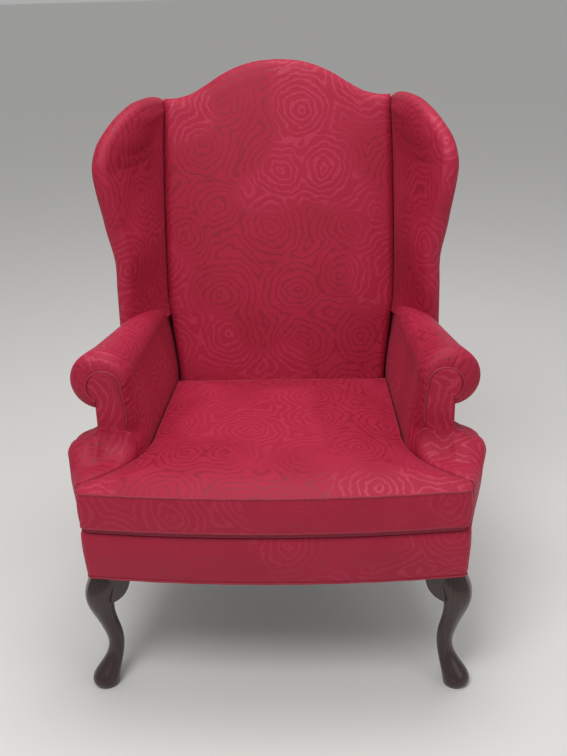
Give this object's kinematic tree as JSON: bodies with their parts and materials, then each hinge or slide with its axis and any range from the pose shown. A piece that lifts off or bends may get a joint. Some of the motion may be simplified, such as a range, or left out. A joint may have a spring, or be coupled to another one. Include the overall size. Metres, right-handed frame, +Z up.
{
  "type": "wingback armchair",
  "caption": "Upholstered wing armchair with an arched high back, rolled arms, bowed seat with a loose T-shaped cushion and cabriole front legs.",
  "frame": {"origin": "middle of the overall box on the floor plane the four feet stand on", "axes": "+Z up, front of the chair faces -Y, +X on the right as seen from the front"},
  "size_m": [0.802, 0.8033, 1.1469],
  "materials": {
    "mahogany": "dark red-brown stained hardwood, glossy varnish",
    "frame_wood": "plain sawn beech frame timber",
    "damask": "crimson tonal damask with a wavy rosette figure",
    "welt_fabric": "bias-cut crimson cord covering",
    "webbing": "woven jute webbing",
    "deck_cloth": "plain red platform cloth over felt",
    "dust_cloth": "thin black dust cloth",
    "foam": "soft open-cell cushion foam",
    "spring_steel": "oil-tempered spring wire"
  },
  "bodies": {
    "chair": {"back_tuck_rail": "frame_wood", "back_webbing": "webbing", "base_welt": "welt_fabric", "corner_blocks": "frame_wood", "crest_rail": "frame_wood", "dust_cover": "dust_cloth", "front_border": "damask", "front_seat_rail": "frame_wood", "inside_back": "damask", "left_arm_front_panel": "damask", "left_arm_panel_welt": "welt_fabric", "left_arm_post": "frame_wood", "left_arm_rail": "frame_wood", "left_arm_tuck_rail": "frame_wood", "left_back_post": "frame_wood", "left_front_leg": "mahogany", "left_inside_arm": "damask", "left_inside_wing": "damask", "left_knee_blocks": "mahogany", "left_outside_arm": "damask", "left_outside_wing": "damask", "left_rear_leg": "mahogany", "left_side_cover": "damask", "left_side_rail": "frame_wood", "left_wing_post": "frame_wood", "left_wing_rail": "frame_wood", "outside_back": "damask", "rear_seat_rail": "frame_wood", "right_arm_front_panel": "damask", "right_arm_panel_welt": "welt_fabric", "right_arm_post": "frame_wood", "right_arm_rail": "frame_wood", "right_arm_tuck_rail": "frame_wood", "right_back_post": "frame_wood", "right_front_leg": "mahogany", "right_inside_arm": "damask", "right_inside_wing": "damask", "right_knee_blocks": "mahogany", "right_outside_arm": "damask", "right_outside_wing": "damask", "right_rear_leg": "mahogany", "right_side_cover": "damask", "right_side_rail": "frame_wood", "right_wing_post": "frame_wood", "right_wing_rail": "frame_wood", "seat_deck": "deck_cloth", "seat_springs": "spring_steel", "spring_clips": "spring_steel"},
    "seat_cushion": {"cushion_bottom_panel": "damask", "cushion_bottom_welt": "welt_fabric", "cushion_boxing": "damask", "cushion_core": "foam", "cushion_top_panel": "damask", "cushion_top_welt": "welt_fabric"}
  },
  "joints": [
    {"name": "cushion_lift", "type": "slide", "parent": "chair", "child": "seat_cushion", "axis": [0, 0, 1], "range_m": [0, 0.75]}
  ]
}
